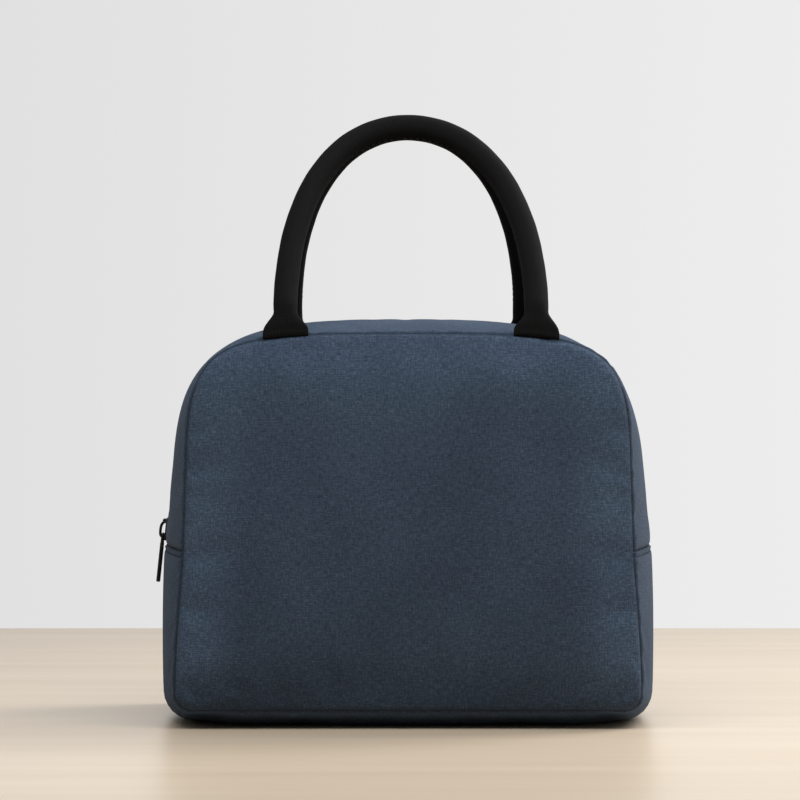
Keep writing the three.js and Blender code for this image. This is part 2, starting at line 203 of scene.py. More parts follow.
def between(grid, at):
    """Rows of a grid at fractional places along its first axis, by Catmull-Rom."""
    padded = np.concatenate([[2 * grid[0] - grid[1]], grid, [2 * grid[-1] - grid[-2]]])
    at = np.asarray(at, float)
    i = np.clip(np.floor(at).astype(int), 0, len(grid) - 2)
    t = (at - i).reshape((-1,) + (1,) * (grid.ndim - 1))
    a, b, c, d = padded[i], padded[i + 1], padded[i + 2], padded[i + 3]
    return b + t * (c - a + t * (2 * a - 5 * b + 4 * c - d + t * (3 * (b - c) + d - a))) / 2


def refined(grid, rows, columns):
    """A grid at fractional rows and columns."""
    return between(between(grid, rows).swapaxes(0, 1), columns).swapaxes(0, 1)


def doubled_ring(grid):
    """Twice the columns of a grid of closed rings."""
    wrapped = np.concatenate([grid[:, -2:], grid, grid[:, :3]], axis=1).swapaxes(0, 1)
    at = 2 + np.arange(2 * grid.shape[1]) / 2
    return between(wrapped, at).swapaxes(0, 1)


def halves(count, fine_start=(), fine_end=()):
    """Places 0 to count in half steps, with finer places in the first and the last cell."""
    last = count - 1 if fine_end else count
    middle = [1 + k / 2 for k in range(2 * last - 1)]
    start = list(fine_start) if fine_start else [0, 0.5]
    end = [count - f for f in reversed(fine_end)]
    return np.array(start + middle + end)


def grid_quads(index, closed=False):
    """Quads of a grid of vertex numbers, whose columns may close on themselves."""
    right = np.roll(index, -1, axis=1) if closed else index[:, 1:]
    left = index if closed else index[:, :-1]
    corners = [left[:-1], right[:-1], right[1:], left[1:]]
    return np.stack(corners, axis=-1).reshape(-1, 4)


def panel_sides(across, up):
    """Ring columns along the bottom, right, top and left of a panel's inner patch."""
    count = 4 * across + 2 * up
    wide = np.arange(2 * across + 1)
    tall = np.arange(up + 1)
    sides = [wide - across, across + tall, 3 * across + up - wide, -across - tall]
    return [side % count for side in sides]


def numbered(grid, start=0):
    """Vertex numbers of a grid of points."""
    return start + np.arange(grid.shape[0] * grid.shape[1]).reshape(grid.shape[:2])


def numbered_patch(patch, ring, across, up, start):
    """Vertex numbers of a panel's inner patch, whose edges are the ring round it."""
    numbers = np.empty(patch.shape[:2], int)
    numbers[1:-1, 1:-1] = numbered(patch[1:-1, 1:-1], start)
    edges = (numbers[0], numbers[:, -1], numbers[-1], numbers[:, 0])
    for edge, side in zip(edges, panel_sides(across, up)):
        edge[:] = ring[side]
    return numbers


def coons_patch(ring, across, up):
    """A grid of points inside a ring, from the four sides that it makes."""
    bottom, right, top, left = (ring[side] for side in panel_sides(across, up))
    u = np.linspace(0, 1, 2 * across + 1)[None, :, None]
    v = np.linspace(0, 1, up + 1)[:, None, None]
    ruled = (1 - v) * bottom[None] + v * top[None] + (1 - u) * left[:, None] + u * right[:, None]
    corners = ((1 - u) * (1 - v) * bottom[0] + u * (1 - v) * bottom[-1]
               + (1 - u) * v * top[0] + u * v * top[-1])
    return ruled - corners


def vertex_normals(points, quads):
    q = points[quads]
    faces = np.cross(q[:, 2] - q[:, 0], q[:, 3] - q[:, 1])
    normals = np.zeros_like(points)
    for corner in range(4):
        np.add.at(normals, quads[:, corner], faces)
    return normals / np.maximum(np.linalg.norm(normals, axis=1, keepdims=True), 1e-9)


# ---- The shell, inflated as cloth ----

def dome(inset):
    """How far a panel stands out at a distance inside its seam."""
    rolled = PANEL_DOME["roll"] * (1 - np.exp(-inset / PANEL_DOME["roll_reach"]))
    crown = PANEL_DOME["rise"] - PANEL_DOME["roll"]
    return rolled + crown * (1 - (1 - np.minimum(inset / PANEL_DOME["reach"], 1)) ** 2)


def distance_to(ring, points):
    """Distance in X and Z from each point to the nearest point of a ring."""
    gaps = points[:, None, [0, 2]] - ring[None]
    return np.sqrt((gaps ** 2).sum(-1)).min(1)


def front_patch():
    """Rings and inner patch of the front panel, at rest."""
    rings = []
    for inset in RING_INSETS:
        ring = SEAM_RING - SEAM_NORMALS * inset
        rings.append(np.stack([ring[:, 0], np.full(RING, -HALF_DEPTH - dome(inset)), ring[:, 1]], axis=1))
    patch = coons_patch(rings[-1], ACROSS, UP)
    inset = distance_to(SEAM_RING, patch.reshape(-1, 3)).reshape(patch.shape[:2])
    patch[1:-1, 1:-1, 1] = -HALF_DEPTH - dome(inset)[1:-1, 1:-1]
    return np.array(rings), patch


def build_shell():
    """The closed shell: its points, quads facing out, pinned points, and the numbering of its parts."""
    gusset = np.stack([section(y) for y in STATIONS])
    rings, patch = front_patch()
    blocks = [gusset.reshape(-1, 3)]
    gusset_index = numbered(gusset)
    quads = [grid_quads(gusset_index, closed=True)[:, ::-1]]
    parts = {"gusset": gusset_index}
    for side, sign in SIDES:
        flip = np.array([1, -sign, 1])
        seam = gusset_index[[0 if sign == -1 else -1]]
        inner, core = rings[1:] * flip, patch[1:-1, 1:-1] * flip
        ring_index = np.concatenate([seam, numbered(inner, sum(map(len, blocks)))])
        patch_index = numbered_patch(patch, ring_index[-1], ACROSS, UP, ring_index.max() + 1)
        blocks += [inner.reshape(-1, 3), core.reshape(-1, 3)]
        faces = np.concatenate([grid_quads(ring_index, closed=True), grid_quads(patch_index)])
        quads.append(faces if sign == -1 else faces[:, ::-1])
        parts[side] = (ring_index, patch_index)
    middle = len(STATIONS) // 2
    zipped = gusset_index[middle - 1:middle + 2, FOLD_COLUMN:RING - FOLD_COLUMN + 1]
    folds = gusset_index[:, [FOLD_COLUMN, RING - FOLD_COLUMN]]
    pinned = np.unique(np.concatenate([gusset_index[[0, -1]].ravel(), zipped.ravel(), folds.ravel()]))
    return np.concatenate(blocks), np.concatenate(quads), pinned, parts


def new_object(name, data):
    """An object that is linked to the scene."""
    obj = bpy.data.objects.new(name, data)
    bpy.context.scene.collection.objects.link(obj)
    return obj


def inflate(points, quads, pinned, gusset_count):
    """Blows the shell up against its seams as cloth, and returns where its points settle."""
    mesh = bpy.data.meshes.new("shell_cloth")
    mesh.from_pydata((points * MM).tolist(), [], quads.tolist())
    obj = new_object("shell_cloth", mesh)
    scene = bpy.context.scene
    held = obj.vertex_groups.new(name="held")
    held.add(pinned.tolist(), 1.0, "REPLACE")
    cloth = obj.modifiers.new("Cloth", "CLOTH")
    settings = cloth.settings
    settings.quality = CLOTH["quality"]
    settings.vertex_group_mass = held.name
    settings.use_pressure = True
    settings.uniform_pressure_force = CLOTH["pressure"]
    settings.shrink_min = -CLOTH["extra"]
    settings.bending_stiffness = CLOTH["bending"]
    settings.effector_weights.gravity = 0
    cloth.point_cache.frame_end = CLOTH["frames"]
    for number in range(1, CLOTH["frames"] + 1):
        scene.frame_set(number)
    evaluated = obj.evaluated_get(bpy.context.evaluated_depsgraph_get())
    settled = np.empty(len(points) * 3)
    evaluated.data.vertices.foreach_get("co", settled)
    bpy.data.objects.remove(obj)
    scene.frame_set(1)
    move = settled.reshape(-1, 3) / MM - points
    far = np.maximum(np.linalg.norm(move, axis=1, keepdims=True), 1e-6)
    largest = np.full_like(far, LARGEST_SWELL["panel"])
    largest[:gusset_count] = LARGEST_SWELL["gusset"]
    return points + move / far * largest * np.tanh(far / largest)


def settled_shell():
    """The shell after it is blown up, with its cross seams sagging and its panels pushed out low down."""
    points, quads, pinned, parts = build_shell()
    points = inflate(points, quads, pinned, parts["gusset"].size)
    near_seam = np.minimum(np.abs(points[:, 1]) / HALF_DEPTH, 1) ** 2
    near_fold = hump(points[:, 2] - FOLD_Z, FOLD_SAG["reach"])
    points[:, 2] -= FOLD_SAG["drop"] * near_seam * near_fold
    on_panel = np.clip((np.abs(points[:, 1]) - HALF_DEPTH) / PANEL_DOME["rise"], 0, 1)
    rising = np.sin(np.clip(points[:, 2] / BELLY["full_at"], 0, 1) * math.pi / 2)
    falling = np.clip((BELLY["gone_at"] - points[:, 2]) / BELLY["over"], 0, 1)
    points[:, 1] += np.sign(points[:, 1]) * BELLY["rise"] * on_panel * rising * falling
    points[:, 2] = np.maximum(points[:, 2], 0)
    return points, parts


shell, shell_parts = settled_shell()


# ---- Camera ----

CAMERA = {"place": (-4.2, -1800.0, 167.4), "lens": 152.6, "sensor": 36.0, "clip": (0.05, 60)}


def add_camera():
    data = bpy.data.cameras.new("camera")
    data.lens = CAMERA["lens"]
    data.sensor_width = CAMERA["sensor"]
    data.clip_start, data.clip_end = CAMERA["clip"]
    camera = new_object("camera", data)
    camera.location = Vector(CAMERA["place"]) * MM
    camera.rotation_euler = (math.pi / 2, 0, 0)
    bpy.context.scene.camera = camera


add_camera()


# ---- Materials ----

def add_node(tree, kind, inputs=None, **settings):
    made = tree.nodes.new(kind)
    for key, value in settings.items():
        setattr(made, key, value)
    for key, value in (inputs or {}).items():
        if isinstance(value, bpy.types.NodeSocket):
            tree.links.new(value, made.inputs[key])
        else:
            made.inputs[key].default_value = value
    return made


def start_material(name, color, roughness, **sockets):
    """A material with a Principled shader, whose constant sockets are set here."""
    material = bpy.data.materials.new(name)
    material.use_nodes = True
    tree = material.node_tree
    shader = tree.nodes["Principled BSDF"]
    shader.inputs["Base Color"].default_value = (*color, 1)
    shader.inputs["Roughness"].default_value = roughness
    for key, value in sockets.items():
        shader.inputs[key.replace("_", " ")].default_value = value
    return material, tree, shader


def point_attribute(tree, name, output="Vector"):
    return add_node(tree, "ShaderNodeAttribute", attribute_name=name).outputs[output]


def scaled(tree, vector, scale):
    return add_node(tree, "ShaderNodeMapping", {"Vector": vector, "Scale": scale}).outputs["Vector"]


def noise(tree, vector, scale, detail=2.0, roughness=0.5):
    """Noise with its own scale along each axis, in cells a metre."""
    inputs = {"Vector": scaled(tree, vector, scale), "Scale": 1.0, "Detail": detail, "Roughness": roughness}
    return add_node(tree, "ShaderNodeTexNoise", inputs).outputs["Fac"]


def threads(tree, vector, pitch, direction):
    """Even threads across one axis, pitch millimetres apart."""
    per_metre = 1000 / pitch
    inputs = {"Vector": scaled(tree, vector, (per_metre,) * 3), "Scale": math.tau / 20}
    return add_node(tree, "ShaderNodeTexWave", inputs, bands_direction=direction).outputs["Fac"]


def plus(tree, a, b):
    return add_node(tree, "ShaderNodeMath", {0: a, 1: b}, operation="ADD").outputs[0]


def times(tree, a, b):
    return add_node(tree, "ShaderNodeMath", {0: a, 1: b}, operation="MULTIPLY").outputs[0]


def ramp(tree, factor, stops):
    """A colour ramp from (position, linear colour) stops."""
    made = add_node(tree, "ShaderNodeValToRGB", {"Fac": factor})
    elements = made.color_ramp.elements
    while len(elements) < len(stops):
        elements.new(0.5)
    for element, (position, color) in zip(elements, stops):
        element.position = position
        element.color = (*color, 1)
    return made.outputs["Color"]


def blended(tree, factor, a, b, mode="MIX"):
    """Two colours mixed by a factor, or multiplied."""
    inputs = {0: factor, 6: a, 7: b}
    return add_node(tree, "ShaderNodeMix", inputs, data_type="RGBA", blend_type=mode).outputs[2]


def surface(tree, shader, tone, height, distance, strength):
    """Colour, and relief from a height map whose full range stands for distance millimetres."""
    inputs = {"Height": height, "Distance": distance * MM, "Strength": strength}
    relief = add_node(tree, "ShaderNodeBump", inputs)
    tree.links.new(relief.outputs["Normal"], shader.inputs["Normal"])
    tree.links.new(tone, shader.inputs["Base Color"])


FABRIC_DARK = (0.021, 0.034, 0.056)
FABRIC_MIDDLE = (0.036, 0.056, 0.090)
FABRIC_LIGHT = (0.064, 0.092, 0.139)
# Colour of the painted shade in and next to the seams.
FABRIC_SHADOW = (0.008, 0.012, 0.019, 1)
YARN = {"across": 1300, "along": 300, "flecks": 900, "patches": 22, "pitch": 0.9}  # cells a metre, and mm
# The share for the seams is the strength of the painted shade there.
HEATHER = {"yarns": 0.34, "flecks": 0.32, "seam_shade": 0.6, "plain": 0.4}  # shares in the tone and the relief


def outer_fabric():
    """Heathered plain weave: uneven warp and weft yarns in three navy tones."""
    material, tree, shader = start_material(
        "outer_fabric", FABRIC_MIDDLE, 0.92, Sheen_Weight=0.06, Sheen_Roughness=0.5,
        Sheen_Tint=(0.45, 0.6, 0.85, 1), Specular_IOR_Level=0.18)
    cloth = point_attribute(tree, "weave")
    warp = noise(tree, cloth, (YARN["across"], YARN["along"], 1))
    weft = noise(tree, cloth, (YARN["along"], YARN["across"], 1))
    flecks = noise(tree, cloth, (YARN["flecks"], YARN["flecks"], 1), detail=3)
    yarns = plus(tree, times(tree, warp, HEATHER["yarns"]), times(tree, weft, HEATHER["yarns"]))
    heather = plus(tree, yarns, times(tree, flecks, HEATHER["flecks"]))
    tone = ramp(tree, heather, [(0.36, FABRIC_DARK), (0.5, FABRIC_MIDDLE), (0.64, FABRIC_LIGHT)])
    patches = noise(tree, cloth, (YARN["patches"], YARN["patches"], 1), detail=3)
    shade = ramp(tree, patches, [(0.3, (0.86, 0.86, 0.87)), (0.7, (1.1, 1.1, 1.09))])
    tone = blended(tree, 1.0, tone, shade, "MULTIPLY")
    # Painted light and shade: each panel is painted paler towards its sides and top and darker just above
    # its base.
    tone = blended(tree, 1.0, tone, plus(tree, point_attribute(tree, "fade", "Fac"), 1.0), "MULTIPLY")
    # Painted shade: the tone is mixed towards a near black navy in and next to the seams, cross seams and
    # zip hem.
    seam_shade = times(tree, point_attribute(tree, "seam_shade", "Fac"), HEATHER["seam_shade"])
    tone = blended(tree, seam_shade, tone, FABRIC_SHADOW)
    plain = times(tree, *(threads(tree, cloth, YARN["pitch"], direction) for direction in "XY"))
    height = plus(tree, times(tree, plain, HEATHER["plain"]), heather)
    surface(tree, shader, tone, height, distance=0.35, strength=0.55)
    return material


def ribbed_webbing(name, color, light, rib_pitch, roughness, relief):
    """Black woven tape or webbing with ribs across it and fine ends along it."""
    material, tree, shader = start_material(name, color, roughness, Specular_IOR_Level=0.12)
    cloth = point_attribute(tree, "weave")
    ribs = threads(tree, cloth, rib_pitch, "Y")
    ends = threads(tree, cloth, rib_pitch * 0.8, "X")
    uneven = noise(tree, cloth, (500, 900, 1), detail=3)
    height = plus(tree, times(tree, ribs, ends), times(tree, uneven, 0.6))
    # Painted highlight: the colour follows the relief, so the raised ribs and yarns are painted lighter than
    # the hollows, along with the yarns' own uneven tone.
    tone = ramp(tree, height, [(0.3, color), (1.0, light)])
    surface(tree, shader, tone, height, relief, strength=0.6)
    return material


def foil_liner():
    """Crinkled silver film on thin foam."""
    material, tree, shader = start_material("foil_liner", (0.62, 0.63, 0.65), 0.36, Metallic=0.65)
    cloth = point_attribute(tree, "weave")
    creases = noise(tree, cloth, (110, 110, 1), detail=6, roughness=0.6)
    quilt = times(tree, *(threads(tree, cloth, 6.0, direction) for direction in "XY"))
    tone = ramp(tree, creases, [(0.3, (0.5, 0.51, 0.53)), (0.7, (0.74, 0.75, 0.77))])
    height = plus(tree, creases, times(tree, quilt, 0.25))
    surface(tree, shader, tone, height, distance=1.2, strength=0.7)
    return material


def hard_black(name, color, worn, roughness, grain, **sockets):
    """Painted metal or nylon: near black, a little lighter where it is worn."""
    material, tree, shader = start_material(name, color, roughness, **sockets)
    place = add_node(tree, "ShaderNodeTexCoord").outputs["Object"]
    wear = noise(tree, place, (grain,) * 3, detail=5, roughness=0.65)
    tone = ramp(tree, wear, [(0.45, color), (0.78, worn)])
    rough = add_node(tree, "ShaderNodeMapRange", {0: wear, 3: roughness - 0.08, 4: roughness + 0.14})
    tree.links.new(rough.outputs[0], shader.inputs["Roughness"])
    surface(tree, shader, tone, wear, distance=0.05, strength=0.4)
    return material


FABRIC = outer_fabric()
# The second colour of each is the painted highlight on its raised ribs and yarns.
WEBBING = ribbed_webbing("handle_webbing", (0.002, 0.002, 0.0022), (0.0055, 0.0055, 0.0058), 1.1, 0.85, 0.16)
TAPE = ribbed_webbing("trim_tape", (0.005, 0.005, 0.006), (0.014, 0.014, 0.015), 0.9, 0.85, 0.2)
THREAD = ribbed_webbing("sewing_thread", (0.012, 0.018, 0.028), (0.045, 0.060, 0.085), 0.6, 0.6, 0.15)
FOIL = foil_liner()
COIL = hard_black("zip_coil", (0.010, 0.010, 0.011), (0.03, 0.03, 0.032), 0.38, 900, Specular_IOR_Level=0.5)
METAL = hard_black("zip_metal", (0.012, 0.012, 0.013), (0.045, 0.044, 0.043), 0.34, 700, Metallic=0.55)


# ---- Pieces ----

def make_piece(name, points, faces, finish, attributes=None):
    """A smooth mesh piece from points in millimetres, with its material and point attributes."""
    mesh = bpy.data.meshes.new(name)
    mesh.from_pydata((np.asarray(points) * MM).tolist(), [], [list(face) for face in faces])
    for key, values in (attributes or {}).items():
        kind, field = ("FLOAT", "value") if values.ndim == 1 else ("FLOAT_VECTOR", "vector")
        layer = mesh.attributes.new(key, kind, "POINT")
        layer.data.foreach_set(field, np.ascontiguousarray(values, np.float32).ravel())
    work = bmesh.new()
    work.from_mesh(mesh)
    bmesh.ops.recalc_face_normals(work, faces=work.faces)
    work.to_mesh(mesh)
    work.free()
    mesh.polygons.foreach_set("use_smooth", [True] * len(mesh.polygons))
    mesh.materials.append(finish)
    obj = new_object(name, mesh)
    return obj


def thickened(points, quads, outer=0.0, inner=1.0):
    """A closed wall between two depths below a surface, as points and faces."""
    normals = vertex_normals(points, quads)
    count = len(points)
    depths = [np.broadcast_to(depth, count)[:, None] for depth in (outer, inner)]
    both = np.concatenate([points - normals * depth for depth in depths])
    edges = np.concatenate([quads[:, [k, (k + 1) % 4]] for k in range(4)])
    known = {tuple(edge) for edge in edges.tolist()}
    rim = np.array([edge for edge in edges.tolist() if (edge[1], edge[0]) not in known])
    walls = np.stack([rim[:, 1], rim[:, 0], rim[:, 0] + count, rim[:, 1] + count], axis=1)
    return both, np.concatenate([quads, quads[:, ::-1] + count, walls])


def doubled(attributes):
    """Point attributes of a surface, repeated for both faces of its wall."""
    return {key: np.concatenate([values, values]) for key, values in attributes.items()}


def weave_at(across, along, layer=0.0):
    """Where each point lies on its cloth, in metres, from distances in millimetres."""
    return np.stack(np.broadcast_arrays(across, along, layer), axis=-1).reshape(-1, 3) * MM


def bend_with(obj):
    """Fabric that crosses the fold: its placement is baked into its mesh, and it is left whole, not split or
    bent at the fold.
    """
    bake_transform(obj)


def ripple(run, phase=0.0):
    """An uneven wave along a seam, from -1 to 1."""
    waves = ((6.3, 0.4), (8.9, 2.1), (13.7, 4.4))
    return sum(np.sin(run * math.tau / length + start + phase) for length, start in waves) / len(waves)


GROOVE = {"depth": 1.2, "width": 1.1}
PUCKER = {"height": 0.16, "centre": 2.6, "width": 2.2, "shift": 3.1}  # shift: of the gusset past the panel
GATHER = {"more": 1.6, "columns": 2.5}  # how much stronger the puckers are at the top corners
CREASE_REACH = 1.1


def seam_groove(distance):
    return GROOVE["depth"] * hump(distance, GROOVE["width"])


def seam_pucker(distance, run, gather):
    """Small puckers next to a seam, stronger where the cloth is gathered round a corner."""
    envelope = hump(distance - PUCKER["centre"], PUCKER["width"])
    return PUCKER["height"] * (1 + gather) * envelope * ripple(run)


def corner_gather(count):
    """How much the seam gathers at each column of a ring with that many columns."""
    column = np.arange(count) * RING / count
    corners = (ACROSS, RING - ACROSS)
    return sum(GATHER["more"] * hump(column - corner, GATHER["columns"]) for corner in corners)


SEAM_RUN = run_length(np.concatenate([SEAM_RING, SEAM_RING[:1]]))
DOUBLED_RUN = np.interp(np.arange(2 * RING) / 2, np.arange(RING + 1), SEAM_RUN)


def run_at(columns, at):
    """Distance along the seam at fractional places among some columns of the shell."""
    return np.interp(at, range(len(columns)), np.unwrap(SEAM_RUN[columns], period=SEAM_RUN[-1]))


def seam_inwards(sign):
    """Direction into the bag at each column of the seam, half way between panel and gusset."""
    inward = np.stack([-SEAM_NORMALS[:, 0], np.full(RING, -sign), -SEAM_NORMALS[:, 1]], axis=1)
    return inward / math.sqrt(2)


def panel_patch(side):
    """The finer grid of a panel's inner patch."""
    patch = shell[shell_parts[side][1]]
    return refined(patch, *(halves(count - 1) for count in patch.shape[:2]))


def panel_surface(side, sign):
    """Fine surface of a panel: points, quads facing out, distance to the seam."""
    rings = doubled_ring(shell[shell_parts[side][0]])
    rows = halves(len(RING_INSETS) - 1, SEAM_ROWS)
    rings = between(rings, rows)
    inset = np.interp(rows, range(len(RING_INSETS)), RING_INSETS)[:, None] * np.ones(rings.shape[1])
    inward = doubled_ring(seam_inwards(sign)[None])[0]
    pucker = seam_pucker(inset, DOUBLED_RUN, corner_gather(2 * RING))
    rings = rings + inward * seam_groove(inset)[..., None]
    rings[..., 1] += sign * pucker
    rings = np.concatenate([rings[:1] + inward * SEAM_TUCK, rings])
    inset = np.concatenate([inset[:1], inset])
    patch = panel_patch(side)
    core = patch[1:-1, 1:-1].reshape(-1, 3)
    ring_index = numbered(rings)
    patch_index = numbered_patch(patch, ring_index[-1], 2 * ACROSS, 2 * UP, ring_index.size)
    quads = np.concatenate([grid_quads(ring_index, closed=True), grid_quads(patch_index)])
    points = np.concatenate([rings.reshape(-1, 3), core])
    distance = np.concatenate([inset.ravel(), np.full(len(core), FAR)])
    return points, quads if sign == -1 else quads[:, ::-1], distance


FOLD_ROWS = [0, 0.12, 0.3, 0.5, 0.62, 0.8]  # finer columns in the first cell next to the cross seam
RIDGE = {"groove": 0.65, "width": 0.7, "rise": 0.35, "rise_width": 0.8, "stitch": 2.9, "stitch_groove": 0.7}
ZIP_ROWS = [0, 0.1, 0.22, 0.4, 0.6]
ZIP_HEM = {"drop": 0.9, "width": 0.7, "stitch": 2.2, "stitch_groove": 0.3}
STITCH_GROOVE_WIDTH = 0.6


def gusset_surface(rows, columns, seams):
    """Fine surface of a gusset: points, quads facing out, and measures of each point.

    rows and columns are numbers in the shell's gusset grid. seams says which panel each end of the rows is
    sewn to, as the panel's sign, or None for the folded edge at the zip."""
    grid = shell[shell_parts["gusset"][np.ix_(rows, columns)]]
    row_at = halves(len(rows) - 1, *(ZIP_ROWS if sign is None else SEAM_ROWS for sign in seams))
    column_at = halves(len(columns) - 1, FOLD_ROWS, FOLD_ROWS)
    grid = refined(grid, row_at, column_at)
    y = np.interp(row_at, range(len(rows)), np.array(STATIONS)[rows])[:, None] * np.ones(len(column_at))
    run = run_at(columns, column_at) * np.ones_like(y)
    normals = vertex_normals(grid.reshape(-1, 3), grid_quads(numbered(grid))[:, ::-1]).reshape(grid.shape)
    to_fold = np.minimum(run - run[:, :1], run[:, -1:] - run)
    to_seam = np.full_like(y, FAR)
    moved = grid.copy()
    gather = np.interp(column_at, range(len(columns)), corner_gather(RING)[columns])
    inward = {sign: between(seam_inwards(sign)[columns], column_at) for sign in filter(None, seams)}
    for sign in inward:
        distance = HALF_DEPTH - sign * y
        to_seam = np.minimum(to_seam, distance)
        pucker = seam_pucker(distance, run + PUCKER["shift"], gather)
        moved += inward[sign] * seam_groove(distance)[..., None] + normals * pucker[..., None]
    sink = RIDGE["groove"] * hump(to_fold, RIDGE["width"])
    if None in seams:
        to_zip = np.abs(y) - ZIP_OPENING
        sink += ZIP_HEM["drop"] * hump(to_zip, ZIP_HEM["width"])
        sink += ZIP_HEM["stitch_groove"] * hump(to_zip - ZIP_HEM["stitch"], STITCH_GROOVE_WIDTH)
    else:
        to_zip = np.full_like(y, FAR)
        sink += RIDGE["stitch_groove"] * hump(to_fold - RIDGE["stitch"], STITCH_GROOVE_WIDTH)
        sink -= RIDGE["rise"] * hump(to_fold - RIDGE["stitch"] / 2, RIDGE["rise_width"])
    moved -= normals * sink[..., None]
    measures = {"y": y, "run": run, "to_seam": to_seam, "to_fold": to_fold, "to_zip": to_zip}
    for sign in inward:
        place, end = (0, 0) if sign == -1 else (len(moved), -1)
        moved = np.insert(moved, place, moved[end] + inward[sign] * SEAM_TUCK, axis=0)
        measures = {key: np.insert(value, place, value[end], axis=0) for key, value in measures.items()}
    quads = grid_quads(numbered(moved))[:, ::-1]
    return moved.reshape(-1, 3), quads, {key: value.ravel() for key, value in measures.items()}


# Distances over which the foam fades in, from a panel seam, a cross seam and past the zip's topstitching.
PADDING = {"seam": 8.0, "fold": 6.0, "zip_start": 7.5, "zip": 5.0, "near_zip": 20.0}


def wall_thickness(to_seam, to_fold=FAR, to_zip=FAR):
    padding = smooth(to_seam / PADDING["seam"]) * smooth(to_fold / PADDING["fold"])
    padding = padding * smooth((to_zip - PADDING["zip_start"]) / PADDING["zip"])
    pinched = np.where(to_zip < PADDING["near_zip"], FABRIC_THICKNESS, SEAM_THICKNESS)
    return pinched + (WALL_THICKNESS - pinched) * padding


def crease_shade(*distances):
    """How much painted shade the fabric gets: 1 in a seam and 0 a few millimetres away."""
    return hump(np.minimum.reduce(distances), CREASE_REACH)


# Painted light and shade on a panel: how much paler its sides and top are painted, and how much darker just
# above its base, than its middle, and over which heights and distances.
EDGE_LIGHT = {"high": 0.28, "low": 0.45, "from": 114.0, "over": 60.0, "inset": 9.0, "reach": 30.0}
BASE_SHADE = {"tone": -0.18, "from": 4.0, "over": 22.0, "edge_from": 12.0, "edge_over": 30.0}


def painted_edge_light_and_base_shade(points, ring):
    """Painted light and shade: how much paler a panel is painted towards its sides and top, for light caught
    at its edges, and how much darker just above the base, for shade.
    """
    height = points[:, 2]
    upper = smooth((height - EDGE_LIGHT["from"]) / EDGE_LIGHT["over"])
    amount = EDGE_LIGHT["low"] + (EDGE_LIGHT["high"] - EDGE_LIGHT["low"]) * upper
    near_edge = 1 - smooth((distance_to(ring, points) - EDGE_LIGHT["inset"]) / EDGE_LIGHT["reach"])
    above_base = smooth((height - BASE_SHADE["edge_from"]) / BASE_SHADE["edge_over"])
    near_base = 1 - smooth((height - BASE_SHADE["from"]) / BASE_SHADE["over"])
    return amount * near_edge * above_base + BASE_SHADE["tone"] * near_base


# ---- Padded walls and their liners ----

def add_panel(side, sign):
    points, quads, distance = panel_surface(side, sign)
    weave = weave_at(points[:, 0], points[:, 2], sign / MM)
    # Painted light towards the panel's sides and top, and painted shade just above its base.
    fade = painted_edge_light_and_base_shade(points, SEAM_RING[ACROSS:RING - ACROSS + 1])
    attributes = doubled({"weave": weave, "seam_shade": crease_shade(distance), "fade": fade})
    wall, faces = thickened(points, quads, inner=wall_thickness(distance))
    panel = make_piece(f"{side}_panel", wall, faces, FABRIC, attributes)
    bend_with(panel)
    layers = [f"{side}_{layer}_{part}" for layer in ("panel", "foam") for part in ("lower", "upper")]
    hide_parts(*layers)


def thin_layer(name, grid, depths, finish, weave, flip=True):
    """A thin closed layer between two depths below a grid of points, as one piece."""
    quads = grid_quads(numbered(grid))
    wall, faces = thickened(grid.reshape(-1, 3), quads[:, ::-1] if flip else quads, *depths)
    return make_piece(name, wall, faces, finish, doubled({"weave": weave}))


FILM_FOLD = 0.22


def crinkle(u, v):
    """Small folds of the film."""
    return FILM_FOLD * (np.sin(u / 3.1 + 2 * np.sin(v / 9.7)) + np.sin(v / 3.7 + 2 * np.sin(u / 8.3)))


def add_panel_liner(side, sign):
    patch = panel_patch(side)
    patch[..., 1] += crinkle(patch[..., 0], patch[..., 2])
    weave = weave_at(patch[..., 0], patch[..., 2])
    liner = thin_layer(f"{side}_liner", patch, LINER_DEPTH, FOIL, weave, flip=sign == 1)
    bend_with(liner)
    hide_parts(f"{side}_liner_lower", f"{side}_liner_upper")


MIDDLE_ROW = len(STATIONS) // 2
ZIP_ROW = 1  # rows from the middle of the gusset to the folded edge at the zip
ALL_ROWS = np.arange(len(STATIONS))
LOWER_COLUMNS = np.arange(-FOLD_COLUMN, FOLD_COLUMN + 1) % RING
UPPER_COLUMNS = np.arange(FOLD_COLUMN, RING - FOLD_COLUMN + 1)
UPPER_ROWS = {"front": ALL_ROWS[:MIDDLE_ROW - ZIP_ROW + 1], "rear": ALL_ROWS[MIDDLE_ROW + ZIP_ROW:]}
UPPER_SEAMS = {"front": (-1, None), "rear": (None, 1)}


def gusset_piece(name, rows, columns, seams):
    points, quads, measures = gusset_surface(rows, columns, seams)
    points[:, 2] = np.maximum(points[:, 2], 0)
    to_seam, to_fold, to_zip = (measures[key] for key in ("to_seam", "to_fold", "to_zip"))
    wall, faces = thickened(points, quads, inner=wall_thickness(to_seam, to_fold, to_zip))
    weave = weave_at(measures["run"] - measures["run"].mean(), measures["y"])
    # Painted shade in and next to the seams, cross seams and zip hem.
    attributes = doubled({"weave": weave, "seam_shade": crease_shade(to_seam, to_fold, to_zip * 2)})
    return make_piece(name, wall, faces, FABRIC, attributes)


def add_lower_gusset():
    gusset = gusset_piece("lower_gusset_fabric", ALL_ROWS, LOWER_COLUMNS, (-1, 1))
    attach(gusset, "lower_body")
    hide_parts("lower_gusset", "lower_gusset_foam")


def add_zip_gusset(side):
    gusset = gusset_piece(f"{side}_zip_gusset_fabric", UPPER_ROWS[side], UPPER_COLUMNS, UPPER_SEAMS[side])
    bend_with(gusset)
    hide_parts(f"{side}_zip_gusset", f"{side}_zip_gusset_foam")


LINER_SEAM_GAP = 2  # rows left out next to a panel seam, where the binding is
LINER_HEM = {"rise": 3.4, "rows": 2}  # how the film comes up to the fabric next to the zip


